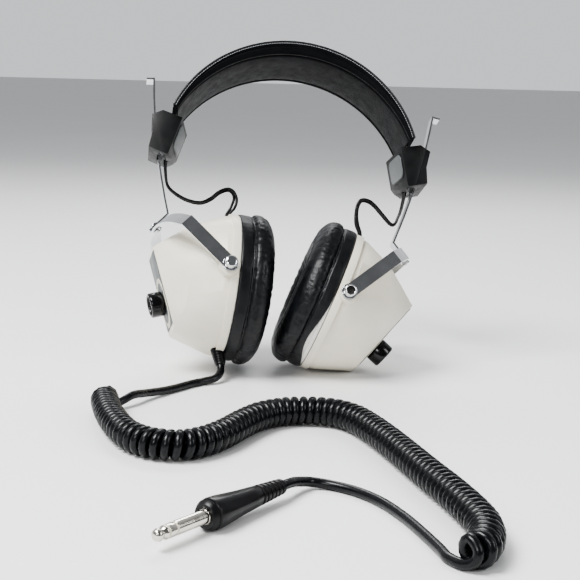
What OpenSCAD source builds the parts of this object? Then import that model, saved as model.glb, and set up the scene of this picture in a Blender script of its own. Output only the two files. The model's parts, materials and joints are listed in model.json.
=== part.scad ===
// Stereo headphones with a padded headband, sliding straps, yokes, closed ear cups
// and a curly cord that ends in a quarter inch jack plug.
// Millimetres. +Z is up and -Y is the wearer's front. The left cup is at -X.
// The set stands on its two round cups, leaning back, as it was put down.

/* [Headband] */
// Outside radius of the padded band
band_r = 88.5; // [80:0.5:95]
// Width of the padded band, front to back
band_w = 52; // [40:1:56]
// Half of the arc that the padded band covers, in degrees
band_half = 70; // [60:1:71]
// Width of the steel spring inside the band
spring_w = 20; // [14:1:24]
// Thickness of the steel spring
spring_t = 0.8; // [0.6:0.1:1.2]

/* [Slider blocks] */
// Front to back size of a slider block
block_d = 30; // [26:1:34]
// Width of a slider strap
strap_w = 10; // [8:0.5:12]
// Thickness of a slider strap
strap_t = 1.2; // [1:0.1:1.6]
// Gap round the strap in its channel
strap_gap = 0.35; // [0.3:0.05:0.5]

/* [Yokes] */
// Distance from the swivel rivet down to the tilt pivots
yoke_len = 58.5; // [58:0.5:62]
// Half of the gap between the two yoke arms
yoke_half = 51.5; // [51.5:0.5:54]
// Width of a yoke arm
yoke_w = 9; // [8:0.5:11]
// Thickness of the yoke's steel
yoke_t = 1.5; // [1.2:0.1:2]

/* [Ear cups] */
// Radius of the round rim of a cup
cup_r = 48.5; // [47:0.5:50]
// Wall of the moulded shell
shell_t = 2.4; // [2:0.1:3]
// Thickness of the ear pad
pad_t = 24; // [18:1:25]
// Radius of the ear opening in the pad
ear_r = 22; // [18:1:26]
// Diameter of the volume knob
knob_d = 16.5; // [14:0.5:18]
// Length of the volume knob
knob_len = 9; // [8.5:0.5:14]

/* [Cord] */
// Diameter of the straight cord
cord_d = 5; // [4:0.5:6]
// Outer diameter of the curly part
coil_d = 16.8; // [14:0.2:18]
// Diameter of the jumper wires
wire_d = 3; // [2.5:0.1:3.5]

/* [Pose] */
// Lean of the whole set towards the back, in degrees
lean = 22.9; // [22:0.1:23.5]
// Lean of the whole set to its right side, in degrees
roll = 7; // [6.5:0.1:7.5]
// Slope of the bent tab at the foot of the left strap, in degrees
slope_left = 51; // [50:0.5:52]
// Slope of the bent tab at the foot of the right strap, in degrees
slope_right = 47; // [46:0.5:48]
// Turn of the left cup about its rivet, in degrees
swivel_left = 7.7; // [0:0.1:12]
// Turn of the right cup about its rivet, in degrees
swivel_right = -0.9; // [-5:0.1:5]
// Tilt of the left cup in its yoke, in degrees
tilt_left = 0.5; // [-3:0.1:3]
// Tilt of the right cup in its yoke, in degrees
tilt_right = 16.7; // [12:0.1:20]

/* [Hidden] */

CREAM = [0.82, 0.79, 0.72];
BLACK = [0.07, 0.07, 0.08];
HIDE = [0.09, 0.09, 0.10];
CHROME = [0.75, 0.76, 0.78];
GREY = [0.45, 0.47, 0.47];

// Place of the whole set: the middle of its footprint is the origin.
stand = [-5.4, 16.8, 129.2];

// The straps follow an arc about a centre far across the head.
strap_r = 470;
strap_c = [-368.9, 108.1];
strap_top = 6.4;
strap_bend = 18.3;
tab_len = 17;
tab_rivet = 12;
tab_gap = 0.3;
stop_w = strap_w - 0.3;
strap_end = strap_c + strap_r * [cos(strap_bend), -sin(strap_bend)];

arch_rise = 18.5;
arch_r = (yoke_half * yoke_half + arch_rise * arch_rise) / (2 * arch_rise);

// The tilt pivots in a cup's own frame: out from the rim's plane, and below its middle.
pivot_u = 6.7;
pivot_w = -2.9;
pin_r = 2;
run_gap = 0.05;
rivet_r = 2;

// The slanted outer face of a cup, as its top and bottom edge, and its half width.
face_top = [53.2, 16.4];
face_bot = [33.8, -36.4];
face_half = 12.5;
face_slope = atan2(face_top[0] - face_bot[0], face_top[1] - face_bot[1]);
knob_along = 36;
knob_gap = 0.6;

rim_depth = 5;
screw_r = 1.3;
grommet_r = 2.8;
grommet_u = 4;
grommet_y = 6;
arc_fn = 96;

// ---- frames -------------------------------------------------------------

module in_band() {
    translate(stand) rotate([-lean, 0, 0]) rotate([0, roll, 0]) children();
}

module on_side(side) {
    in_band() mirror([side < 0 ? 1 : 0, 0, 0]) children();
}

function swivel(side) = side < 0 ? swivel_left : swivel_right;
function tilt(side) = side < 0 ? tilt_left : tilt_right;
function slope(side) = side < 0 ? slope_left : slope_right;

// The rivet's place in the band's own frame, on the top of the yoke.
function rivet_at(k) = strap_end + tab_rivet * [cos(k), -sin(k)] - (tab_gap + strap_t / 2) * [sin(k), cos(k)];

// Origin at the rivet, z out along its axis, y to the back.
module in_tab(side) {
    at = rivet_at(slope(side));
    on_side(side) translate([at[0], 0, at[1]]) rotate([0, slope(side), 0]) children();
}

module in_yoke(side) {
    in_tab(side) rotate([0, 0, -swivel(side)]) children();
}

// Origin at the middle of the rim, x outwards, z up along the cup.
module in_cup(side) {
    in_yoke(side) translate([0, 0, -yoke_len]) rotate([0, tilt(side) - slope(side), 0])
        translate([-pivot_u, 0, -pivot_w]) children();
}

// Origin at the middle of the top edge of the outer face, z out of the face, x down along it.
module on_face(side) {
    in_cup(side) translate([face_top[0], 0, face_top[1]]) rotate([0, 90 + face_slope, 0]) children();
}

// Axis along x, from x0 to x1.
module disc(r, x0, x1) {
    translate([x0, 0, 0]) rotate([0, 90, 0]) cylinder(r = r, h = x1 - x0, $fn = arc_fn);
}

module ring(r_out, r_in, x0, x1) {
    difference() {
        disc(r_out, x0, x1);
        disc(r_in, x0 - 1, x1 + 1);
    }
}

// ---- headband -----------------------------------------------------------

// A bent bar about the band's centre line: radii, width and half angle.
module band_arc(r_in, r_out, w, half) {
    rotate([90, 0, 0]) rotate([0, 0, 90 - half])
        rotate_extrude(angle = 2 * half, $fn = 180)
            translate([r_in, -w / 2]) square([r_out - r_in, w]);
}

foam_drop = 8.6;
foam_r = 87.6;

module headband_cover() {
    color(HIDE) in_band() difference() {
        band_arc(band_r - 12, band_r, band_w, band_half);
        translate([0, 0, -foam_drop]) rotate([90, 0, 0])
            cylinder(r = foam_r, h = band_w + 2, center = true, $fn = 180);
        band_arc(band_r - 6.2, band_r - 1.4, band_w - 6, band_half + 2);
    }
}

module headband_foam() {
    color("dimgray") in_band() difference() {
        band_arc(band_r - 6.2, band_r - 1.4, band_w - 6, band_half - 1);
        band_arc(spring_mid - 0.6, spring_mid + 0.6, spring_w + 1, band_half + 1);
        along_arc(spring_mid, groove_r, band_half + 1);
    }
}

spring_mid = band_r - 3.4;
spring_end = 74;

// A groove or a wire beside the spring, along the band.
wire_y = spring_w / 2 + 2.2;
groove_r = 1.6;
module along_arc(r, thick, half) {
    rotate([90, 0, 0]) rotate([0, 0, 90 - half])
        rotate_extrude(angle = 2 * half, $fn = 180) translate([r, -wire_y]) circle(r = thick, $fn = 24);
}

module headband_spring() {
    half_t = spring_t / 2;
    color(CHROME) in_band() band_arc(spring_mid - half_t, spring_mid + half_t, spring_w, spring_end);
}

// ---- slider blocks ------------------------------------------------------

block_out = [
    [71, 24.6], [89, 29.4], [96, 25.6], [94.2, 14], [95.6, 2.5], [83.2, -1.2], [78.5, 1.5], [75.8, 4.5]
];

module block_shape() {
    difference() {
        rotate([90, 0, 0]) linear_extrude(block_d, center = true) polygon(block_out);
        translate([71, block_d / 2, 24.6]) rotate([0, -14, 0]) rotate([0, 0, 9])
            translate([-10, -50, -40]) cube([10, 60, 60]);
    }
}

// The strap's own arc, widened by a gap.
module strap_arc(gap, a0, a1) {
    t = strap_t + 2 * gap;
    w = strap_w + 2 * gap;
    translate([strap_c[0], 0, strap_c[1]]) rotate([90, 0, 0]) rotate([0, 0, -a1])
        rotate_extrude(angle = a1 - a0, $fn = 360)
            translate([strap_r - t / 2, -w / 2]) square([t, w]);
}

// Everything outboard of the split between a block's body and its cover.
module outboard() {
    translate([91.4, 0, 14]) rotate([0, 11.5, 0]) translate([-strap_t / 2 - strap_gap, -30, -40])
        cube([40, 60, 80]);
}

module block_screw_at(i) {
    translate([91.4, i * 10.5, 13]) rotate([0, 101.5, 0]) children();
}

module slider_body(side) {
    color(BLACK) on_side(side) difference() {
        block_shape();
        outboard();
        strap_arc(strap_gap, 8, 16);
        // Mouth for the spring's end, and the passage that the wire takes down to the outlet.
        rotate([90, 0, 0]) rotate([0, 0, 13])
            rotate_extrude(angle = 12, $fn = 180)
                translate([spring_mid - 0.5, -spring_w / 2 - 0.2]) square([1, spring_w + 0.4]);
        along_arc(spring_mid, groove_r, 80);
        translate([83.4, 2, -5]) cylinder(r = wire_d / 2 + 0.1, h = 16, $fn = 32);
        translate([82, 0.5, 9]) cube([4, 13.4, 8]);
        // Pocket for the leaf spring, behind the strap.
        translate([88.6, -4.2, 7]) cube([3.4, 8.4, 14]);
        for (i = [-1, 1]) block_screw_at(i) translate([0, 0, -9]) cylinder(r = 1.25, h = 20, $fn = 32);
    }
}

module slider_cover(side) {
    color(BLACK) on_side(side) difference() {
        intersection() {
            block_shape();
            outboard();
        }
        strap_arc(strap_gap, 8, 16);
        for (i = [-1, 1]) block_screw_at(i) translate([0, 0, -9]) cylinder(r = 1.25, h = 20, $fn = 32);
    }
}

// A plain raised plate on the block's inner face.
module slider_plate(side) {
    color(GREY) on_side(side) translate([71, block_d / 2, 24.6]) rotate([0, -14, 0])
        rotate([0, 0, 9]) translate([-0.8, -26.5, -19]) cube([0.8, 21, 15.5]);
}

module slider_screws() {
    color(CHROME) for (side = [-1, 1]) on_side(side) for (i = [-1, 1])
        block_screw_at(i) translate([0, 0, -8]) cylinder(r = 1.2, h = 9, $fn = 32);
}

module slider_leaf_springs() {
    color(CHROME) for (side = [-1, 1]) on_side(side)
        translate([88.7, -3.8, 9.5]) cube([0.5, 7.6, 10.5]);
}

// ---- straps and rivets --------------------------------------------------

module strap(side) {
    color(CHROME) {
        on_side(side) union() {
            strap_arc(0, strap_top, strap_bend);
            // Stop at the top, turned outwards.
            translate([strap_c[0], 0, strap_c[1]]) rotate([0, strap_top, 0])
                translate([strap_r - strap_t / 2 + 0.1, -stop_w / 2, -1.3]) cube([5.6, stop_w, 1.2]);
        }
        in_tab(side) difference() {
            translate([-tab_rivet - 0.5, -stop_w / 2, tab_gap]) cube([tab_len + 0.5, stop_w, strap_t]);
            translate([0, 0, -1]) cylinder(r = rivet_r, h = 4, $fn = 48);
        }
    }
}

module swivel_rivet(side) {
    color(CHROME) in_tab(side) union() {
        translate([0, 0, -yoke_t - 2.2]) cylinder(r = rivet_r, h = yoke_t + strap_t + 2.8, $fn = 48);
        translate([0, 0, tab_gap + strap_t]) cylinder(r = 3.4, h = 1.4, $fn = 48);
        translate([0, 0, -yoke_t - 1.5]) cylinder(r = 3.2, h = 1.2, $fn = 48);
    }
}

// ---- yokes --------------------------------------------------------------

// The bow's outline, seen along the yoke's width: an outer and an inner arc.
bow_half = asin((yoke_half + yoke_t - 0.2) / arch_r);
function bow_arc(r, dir) = [for (i = [-20:20]) let (a = dir * i * bow_half / 20)
    [r * sin(a), r * cos(a) - arch_r]];

module yoke(side) {
    color(CHROME) in_yoke(side) difference() {
        union() {
            translate([-yoke_w / 2, 0, 0]) rotate([90, 0, 90]) linear_extrude(yoke_w)
                polygon(concat(bow_arc(arch_r, 1), bow_arc(arch_r - yoke_t, -1)));
            for (y = [-yoke_half, yoke_half + yoke_t])
                translate([0, y, 0]) rotate([90, 0, 0]) linear_extrude(yoke_t) union() {
                    translate([-yoke_w / 2, -yoke_len]) square([yoke_w, yoke_len - arch_rise - 0.4]);
                    translate([0, -yoke_len]) circle(r = yoke_w / 2 + 0.6, $fn = 64);
                }
        }
        translate([0, 0, -10]) cylinder(r = rivet_r + run_gap, h = 20, $fn = 48);
        translate([0, 0, -yoke_len]) rotate([90, 0, 0])
            cylinder(r = pin_r + run_gap, h = 130, center = true, $fn = 48);
    }
}

module yoke_washers(side) {
    color(CHROME) in_yoke(side) for (s = [-1, 1])
        translate([0, s > 0 ? yoke_half + yoke_t : -yoke_half - yoke_t - 0.6, -yoke_len]) rotate([-90, 0, 0])
            difference() {
                cylinder(r = 4.9, h = 0.6, $fn = 48);
                translate([0, 0, -1]) cylinder(r = pin_r + 0.3, h = 3, $fn = 48);
            }
}

// ---- ear cups -----------------------------------------------------------

// A flat plate in the plane of the outer face, moved inwards by d and grown by g.
module face_slab(d, g, t) {
    translate([face_top[0], 0, face_top[1]]) rotate([0, face_slope, 0])
        translate([-d - t, -face_half - g, -face_len - g]) cube([t, 2 * (face_half + g), face_len + 2 * g]);
}

face_len = norm(face_top - face_bot);
mid_u = 29;
mid_half = 35.5;
mid_top = 37;

// A rounded section of the shell at mid depth.
function mid_ring(g) = [for (i = [0:31]) let (a = i * 11.25, c = cos(a), s = sin(a))
    [(mid_half + g) * sign(c) * pow(abs(c), 0.85), (s > 0 ? mid_top : mid_top + 2) * s + g * s]];

module shell_form(g, rim, d) {
    hull() {
        translate([4, 0, 0]) rotate([0, 90, 0]) cylinder(r = rim, h = 4.5, $fn = 64);
        translate([mid_u, 0, 0]) rotate([90, 0, 90]) linear_extrude(0.5) polygon(mid_ring(g));
        face_slab(d, g, 0.5);
    }
}

module screw_places() {
    for (a = [45:90:315]) rotate([a, 0, 0]) translate([0, 0, 38]) children();
}

module shell(side) {
    color(CREAM) in_cup(side) difference() {
        union() {
            difference() {
                union() {
                    disc(cup_r, 0, rim_depth);
                    shell_form(0, cup_r - 1.8, 0);
                    translate([pivot_u, 0, pivot_w]) rotate([90, 0, 0])
                        cylinder(r = 6.6, h = 2 * yoke_half - 0.6, center = true, $fn = 64);
                }
                shell_form(-shell_t, cup_r - 1.8 - shell_t, shell_t);
                disc(cup_r - 1.8 - shell_t, -1, 6);
            }
            intersection() {
                shell_form(-1, cup_r - 2.8, 1);
                screw_places() disc(3.4, 3, 45);
            }
        }
        screw_places() disc(screw_r, 2, 12);
        translate([pivot_u, 0, pivot_w]) rotate([90, 0, 0])
            cylinder(r = pin_r, h = 120, center = true, $fn = 48);
        translate([face_top[0], 0, face_top[1]]) rotate([0, 90 + face_slope, 0])
            translate([knob_along, 0, -6]) cylinder(r = 3.6, h = 12, $fn = 48);
        translate([grommet_u, grommet_y, 30]) cylinder(r = grommet_r, h = 30, $fn = 48);
    }
}

// The moulded disc that carries the driver and the pad.
module baffle(side) {
    color([0.86, 0.86, 0.84]) in_cup(side) difference() {
        union() {
            disc(cup_r - 1.8 - shell_t - 0.1, -2, 3);
            disc(cup_r - 0.6, -3, -0.1);
        }
        disc(20, -5, 5);
        screw_places() disc(screw_r, -5, 5);
    }
}

module baffle_screws(side) {
    color(CHROME) in_cup(side) screw_places() union() {
        disc(screw_r, -3, 10);
        disc(2.6, -4.2, -3);
    }
}

module driver_basket(side) {
    color([0.25, 0.25, 0.26]) in_cup(side) difference() {
        union() {
            disc(31, 3, 4.5);
            translate([4.5, 0, 0]) rotate([0, 90, 0]) cylinder(r1 = 26, r2 = 14, h = 11.5, $fn = arc_fn);
        }
        translate([2.9, 0, 0]) rotate([0, 90, 0]) cylinder(r1 = 25, r2 = 12.5, h = 11.7, $fn = arc_fn);
        disc(11, 10, 20);
    }
}

module driver_magnet(side) {
    color([0.18, 0.18, 0.19]) in_cup(side) difference() {
        disc(13.5, 16, 25);
        disc(8, 15, 22);
    }
}

module driver_cone(side) {
    color([0.14, 0.13, 0.12]) in_cup(side) union() {
        difference() {
            translate([3.4, 0, 0]) rotate([0, 90, 0]) cylinder(r1 = 23, r2 = 9, h = 9, $fn = arc_fn);
            translate([3.3, 0, 0]) rotate([0, 90, 0]) cylinder(r1 = 22.4, r2 = 8.4, h = 8.6, $fn = arc_fn);
        }
        ring(7.5, 6.9, 12, 21);
    }
}

module driver_foam(side) {
    color("dimgray") in_cup(side) disc(30, -6.4, -4.4);
}

// The ear pad: a thick soft ring with a round back that grips the baffle's rim.
pad_r = 50.5;
pad_outline = [
    [-4.6, pad_r - 2.5], [-8, pad_r], [-15, pad_r], [-20.5, pad_r - 3], [-pad_t + 0.6, pad_r - 9],
    [-pad_t - 1, pad_r - 17], [-pad_t + 0.4, ear_r + 6], [-18, ear_r + 1.5], [-12, ear_r], [-8.2, ear_r],
    [-8.2, cup_r - 4], [-4.6, cup_r - 3.4]
];

module ear_pad(side) {
    color(HIDE) in_cup(side) rotate([0, 90, 0]) rotate_extrude($fn = 72)
        polygon([for (p = pad_outline) [p[1], p[0]]]);
}

module pivot_screws(side) {
    color(CHROME) in_cup(side) for (s = [-1, 1])
        translate([pivot_u, 0, pivot_w]) rotate([s * -90, 0, 0]) union() {
            translate([0, 0, 44]) cylinder(r = pin_r, h = 12, $fn = 48);
            translate([0, 0, yoke_half + yoke_t + 0.9]) cylinder(r = 3.9, h = 4.6, $fn = 48);
        }
}

// A thin grey plate on the outer face, with the knob's hole in it.
module face_plate(side) {
    color(GREY) on_face(side) difference() {
        translate([2, -face_half + 1.5, 0]) cube([face_len - 5, 2 * face_half - 3, 0.5]);
        translate([knob_along, 0, -1]) cylinder(r = 3.8, h = 3, $fn = 48);
    }
}

module volume_control(side) {
    color([0.55, 0.53, 0.45]) on_face(side) translate([knob_along, 0, 0]) union() {
        translate([0, 0, -shell_t - 9.2]) cylinder(r = 8.5, h = 9, $fn = 64);
        translate([0, 0, -shell_t - 0.5]) cylinder(r = 3.5, h = shell_t + 1.5, $fn = 48);
        translate([0, 0, 0]) cylinder(r = 3, h = 7, $fn = 48);
    }
}

module knob(side) {
    color(BLACK) on_face(side) translate([knob_along, 0, 0.5 + knob_gap]) difference() {
        union() {
            cylinder(r = knob_d / 2, h = knob_len - 1, $fn = 72);
            cylinder(r = knob_d / 2 - 1, h = knob_len, $fn = 72);
        }
        translate([0, 0, knob_len - 1.2]) cylinder(r = knob_d / 2 - 2.2, h = 3, $fn = 72);
        translate([0, 0, -1]) cylinder(r = 3 + run_gap, h = 7.4, $fn = 48);
        translate([0, 0, -1]) cylinder(r = 4.2, h = 1.6, $fn = 48);
    }
}

module wire_grommet(side) {
    color(BLACK) in_cup(side) translate([grommet_u, grommet_y, 0]) difference() {
        translate([0, 0, 44.4]) cylinder(r = grommet_r, h = 6.1, $fn = 48);
        translate([0, 0, 40]) cylinder(r = wire_d / 2, h = 16, $fn = 32);
    }
}

// ---- cords --------------------------------------------------------------

function unit(v) = v / norm(v);

// Rings of points round a route, each square to it.
function tangent(pts, i) = unit(pts[min(i + 1, len(pts) - 1)] - pts[max(i - 1, 0)]);
function frames(pts, i, up) = let (
        t = tangent(pts, i),
        side = unit(cross(up, t))
    ) [side, cross(t, side)];

module tube(pts, r, n, up) {
    m = len(pts);
    rings = [for (i = [0:m - 1]) let (f = frames(pts, i, up))
        for (k = [0:n - 1]) pts[i] + r * (cos(360 * k / n) * f[0] + sin(360 * k / n) * f[1])];
    sides = [for (i = [0:m - 2]) for (k = [0:n - 1])
        [i * n + k, i * n + (k + 1) % n, (i + 1) * n + (k + 1) % n, (i + 1) * n + k]];
    polyhedron(
        points = rings,
        faces = concat(sides, [[for (k = [n - 1:-1:0]) k]], [[for (k = [0:n - 1]) (m - 1) * n + k]]),
        convexity = 8
    );
}

// The wire that takes the signal across to the right cup, inside the band and the blocks.
module crossover_wire() {
    color(BLACK) in_band() along_arc(spring_mid, 1.2, spring_end);
}

// Jumper wires hang from a block's outlet and go into the top of a cup.
// Points are in the band's frame, with x counted outwards on either side.
left_jumper = [
    [83.4, 2, 4], [83.4, 2, -2], [81.5, 3, -13], [79, 4, -18.5], [73, 5, -22.5], [65, 6, -25.3], [56.5, 7, -25.5],
    [50, 8, -21.8], [44.5, 9, -16], [39, 9.5, -12.8], [35, 10, -14], [32.7, 10.5, -18.5], [33.7, 11, -24.5],
    [36.7, 11.8, -30], [37.2, 11.6, -35]
];
right_jumper = [
    [83.4, 2, 4], [83.4, 2, -2], [82.1, 3, -13], [80.3, 3.5, -19.5], [78.6, 4, -23.7], [76, 4.4, -23.7],
    [69, 4.8, -17.3], [63, 5, -11.5], [58.2, 5, -9.1], [54, 5, -9.6], [52, 5.2, -13.6], [51.6, 5.4, -20],
    [52.6, 5.5, -27], [55, 5.5, -33], [54.6, 5.6, -38]
];

module jumper_wire(side) {
    color(BLACK) on_side(side)
        tube(side < 0 ? left_jumper : right_jumper, wire_d / 2, 8, [0, 1, 0]);
}

// The main cord lies on the floor. Points are in the frame of the floor.
relief_top = [-55, -39, 19.6];
relief_end = [-53.5, -46.3, 10.4];
lead_route = [
    [-53.5, -46.3, 10.4], [-54, -50.7, 6.4], [-57.5, -55, 3.8], [-65, -58.3, 2.7], [-73, -63.6, 2.5],
    [-81, -72, 2.5], [-90.5, -82, 3], [-100.5, -93, 4.5], [-109.5, -105, 6.5], [-115, -110.6, 5.6],
    [-120.6, -114.4, 3.6], [-126.4, -115.4, 2.7]
];
coil_route = [
    [-126.8, -116.4], [-125.8, -131], [-123, -154], [-117.7, -179], [-110.6, -198], [-99.5, -210],
    [-85.2, -213.4], [-72, -206], [-60.8, -192.4], [-50.6, -175.7], [-38.4, -160], [-24.2, -151.6], [-9, -150.4], [4.3, -155.6],
    [13.5, -168], [19.5, -188.8], [24.6, -214.8], [28.6, -240.9], [32.6, -268], [36.7, -293], [39.7, -319],
    [40, -337], [37, -351], [31.6, -361.5], [25.6, -367.5]
];
tail_route = [
    [26.9, -372.3, 2.6], [22, -366.7, 2.5], [19.8, -360, 2.5], [18, -346.2, 2.5], [15.2, -328.6, 2.5],
    [11.2, -308.8, 2.5], [5, -289, 2.5], [-4, -273.5, 2.5], [-15, -263.5, 2.6], [-25, -261.6, 3.8],
    [-33, -268, 6.1], [-37, -273.2, 7.2], [-40.5, -277.2, 7.5]
];

module cord_strain_relief() {
    d = relief_end - relief_top;
    color(BLACK) translate(relief_top) rotate([0, acos(d[2] / norm(d)), atan2(d[1], d[0])])
        cylinder(r1 = 5, r2 = 3.4, h = norm(d), $fn = 48);
}

module cord_lead() {
    color(BLACK) tube(lead_route, cord_d / 2, 10, [0.2, 0.3, 1]);
}

module cord_coil() {
    color(BLACK) tube([for (p = coil_route) [p[0], p[1], coil_d / 2]], coil_d / 2, 12, [0, 0, 1]);
}

module cord_tail() {
    color(BLACK) tube(tail_route, cord_d / 2, 10, [0, 0, 1]);
}

// ---- plug ---------------------------------------------------------------

plug_at = [-79.7, -316.4, 7.5];
plug_yaw = 225;
plug_r = 3.175;

// Origin at the collar's face, x towards the tip.
module in_plug() {
    translate(plug_at) rotate([0, 0, plug_yaw]) children();
}

module plug_barrel() {
    color(BLACK) in_plug() rotate([0, -90, 0]) rotate_extrude($fn = 64) polygon([
        [0, 0.9], [6.2, 0.9], [7.2, 2.4], [7.4, 8], [6.6, 16],
        [5.7, 25], [4.6, 42], [3.6, 55.4], [0, 55.4]
    ]);
}

module plug_sleeve() {
    color(CHROME) in_plug() union() {
        disc(4.8, -0.9, 0);
        disc(plug_r, 0, 19);
    }
}

module plug_ring() {
    color(CHROME) in_plug() disc(plug_r, 20, 24);
}

module plug_tip() {
    color(CHROME) in_plug() rotate([0, 90, 0]) rotate_extrude($fn = 64) polygon([
        [0, 25], [plug_r, 25], [plug_r, 25.6], [2.1, 27], [2.6, 28.2], [2.9, 29.2],
        [2.4, 30.6], [1.2, 31.4], [0, 31.4]
    ]);
}

module plug_insulators() {
    color([0.8, 0.78, 0.7]) in_plug() union() {
        disc(plug_r - 0.02, 19, 20);
        disc(plug_r - 0.02, 24, 25);
    }
}

headband_cover();
headband_foam();
headband_spring();
crossover_wire();
slider_body(-1);  // left_slider_body
slider_body(1);  // right_slider_body
slider_cover(-1);  // left_slider_cover
slider_cover(1);  // right_slider_cover
slider_plate(-1);  // left_slider_plate
slider_plate(1);  // right_slider_plate
slider_screws();
slider_leaf_springs();
strap(-1);  // left_strap
strap(1);  // right_strap
swivel_rivet(-1);  // left_swivel_rivet
swivel_rivet(1);  // right_swivel_rivet
yoke(-1);  // left_yoke
yoke(1);  // right_yoke
yoke_washers(-1);  // left_yoke_washers
yoke_washers(1);  // right_yoke_washers
shell(-1);  // left_shell
shell(1);  // right_shell
baffle(-1);  // left_baffle
baffle(1);  // right_baffle
baffle_screws(-1);  // left_baffle_screws
baffle_screws(1);  // right_baffle_screws
driver_basket(-1);  // left_driver_basket
driver_basket(1);  // right_driver_basket
driver_magnet(-1);  // left_driver_magnet
driver_magnet(1);  // right_driver_magnet
driver_cone(-1);  // left_driver_cone
driver_cone(1);  // right_driver_cone
driver_foam(-1);  // left_driver_foam
driver_foam(1);  // right_driver_foam
ear_pad(-1);  // left_ear_pad
ear_pad(1);  // right_ear_pad
pivot_screws(-1);  // left_pivot_screws
pivot_screws(1);  // right_pivot_screws
face_plate(-1);  // left_face_plate
face_plate(1);  // right_face_plate
volume_control(-1);  // left_volume_control
volume_control(1);  // right_volume_control
knob(-1);  // left_knob
knob(1);  // right_knob
wire_grommet(-1);  // left_wire_grommet
wire_grommet(1);  // right_wire_grommet
jumper_wire(-1);  // left_jumper_wire
jumper_wire(1);  // right_jumper_wire
cord_strain_relief();
cord_lead();
cord_coil();
cord_tail();
plug_barrel();
plug_sleeve();
plug_ring();
plug_tip();
plug_insulators();
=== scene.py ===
import json
import math
import bpy
import bmesh
from mathutils import Matrix, Vector, noise

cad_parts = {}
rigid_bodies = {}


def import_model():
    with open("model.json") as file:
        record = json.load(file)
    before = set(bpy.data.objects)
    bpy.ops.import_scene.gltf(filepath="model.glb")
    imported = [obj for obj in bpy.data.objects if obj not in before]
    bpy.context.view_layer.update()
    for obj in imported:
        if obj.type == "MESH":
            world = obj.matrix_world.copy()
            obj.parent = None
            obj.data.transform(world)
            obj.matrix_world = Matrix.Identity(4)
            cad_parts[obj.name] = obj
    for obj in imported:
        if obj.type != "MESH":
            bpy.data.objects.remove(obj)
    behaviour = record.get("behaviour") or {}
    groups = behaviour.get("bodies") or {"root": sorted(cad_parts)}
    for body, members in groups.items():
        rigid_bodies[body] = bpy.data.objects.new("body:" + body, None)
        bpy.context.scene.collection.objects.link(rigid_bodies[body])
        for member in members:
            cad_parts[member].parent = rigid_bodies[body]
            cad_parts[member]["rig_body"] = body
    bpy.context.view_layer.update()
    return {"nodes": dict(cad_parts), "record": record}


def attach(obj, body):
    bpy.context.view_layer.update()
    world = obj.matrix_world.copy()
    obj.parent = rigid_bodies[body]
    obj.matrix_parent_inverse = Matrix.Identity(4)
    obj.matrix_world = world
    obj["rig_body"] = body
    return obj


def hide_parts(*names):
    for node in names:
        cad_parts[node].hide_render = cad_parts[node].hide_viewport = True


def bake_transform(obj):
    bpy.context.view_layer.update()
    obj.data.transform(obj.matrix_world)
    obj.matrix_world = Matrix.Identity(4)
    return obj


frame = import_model()
MM = 0.001
TAU = 2 * math.pi
SCENE = bpy.context.scene

# ---- frames: the design's own numbers, in millimetres and degrees ----------------------------


def turn(axis, deg):
    return Matrix.Rotation(math.radians(deg), 4, axis)


def move(x, y, z):
    return Matrix.Translation((x, y, z))


LEAN, ROLL = 22.9, 7.0
SLOPE = {-1: 51.0, 1: 47.0}
SWIVEL = {-1: 7.7, 1: -0.9}
TILT = {-1: 0.5, 1: 16.7}
STRAP_T, TAB_GAP, TAB_RIVET = 1.2, 0.3, 12.0
STRAP_R, STRAP_C, STRAP_BEND = 470.0, (-368.9, 108.1), 18.3
YOKE_LEN, PIVOT = 58.5, (6.7, -2.9)
FACE_TOP, FACE_BOT = (53.2, 16.4), (33.8, -36.4)
FACE_SLOPE = math.degrees(math.atan2(FACE_TOP[0] - FACE_BOT[0], FACE_TOP[1] - FACE_BOT[1]))
KNOB_ALONG = 36.0
CUP_R, PAD_R, EAR_R = 48.5, 50.5, 22.0
GROMMET = (4.0, 6.0)
CORD_D, COIL_D = 5.0, 16.8

METRES = Matrix.Scale(MM, 4)
BAND = METRES @ move(-5.4, 16.8, 129.2) @ turn("X", -LEAN) @ turn("Y", ROLL)


def side_frame(s):
    return BAND @ Matrix.Scale(s, 4, (1, 0, 0))


def rivet_at(s):
    k, b = math.radians(SLOPE[s]), math.radians(STRAP_BEND)
    x = STRAP_C[0] + STRAP_R * math.cos(b) + TAB_RIVET * math.cos(k)
    z = STRAP_C[1] - STRAP_R * math.sin(b) - TAB_RIVET * math.sin(k)
    lift = TAB_GAP + STRAP_T / 2
    return x - lift * math.sin(k), z - lift * math.cos(k)


def tab_frame(s):
    x, z = rivet_at(s)
    return side_frame(s) @ move(x, 0, z) @ turn("Y", SLOPE[s])


def yoke_frame(s):
    return tab_frame(s) @ turn("Z", -SWIVEL[s])


def cup_frame(s):
    return (yoke_frame(s) @ move(0, 0, -YOKE_LEN) @ turn("Y", TILT[s] - SLOPE[s])
            @ move(-PIVOT[0], 0, -PIVOT[1]))


def face_frame(s):
    return cup_frame(s) @ move(FACE_TOP[0], 0, FACE_TOP[1]) @ turn("Y", 90 + FACE_SLOPE)


PLUG = METRES @ move(-79.7, -316.4, 7.5) @ turn("Z", 225)
SIDE = {-1: "left", 1: "right"}

# ---- camera ----------------------------------------------------------------------------------

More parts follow.
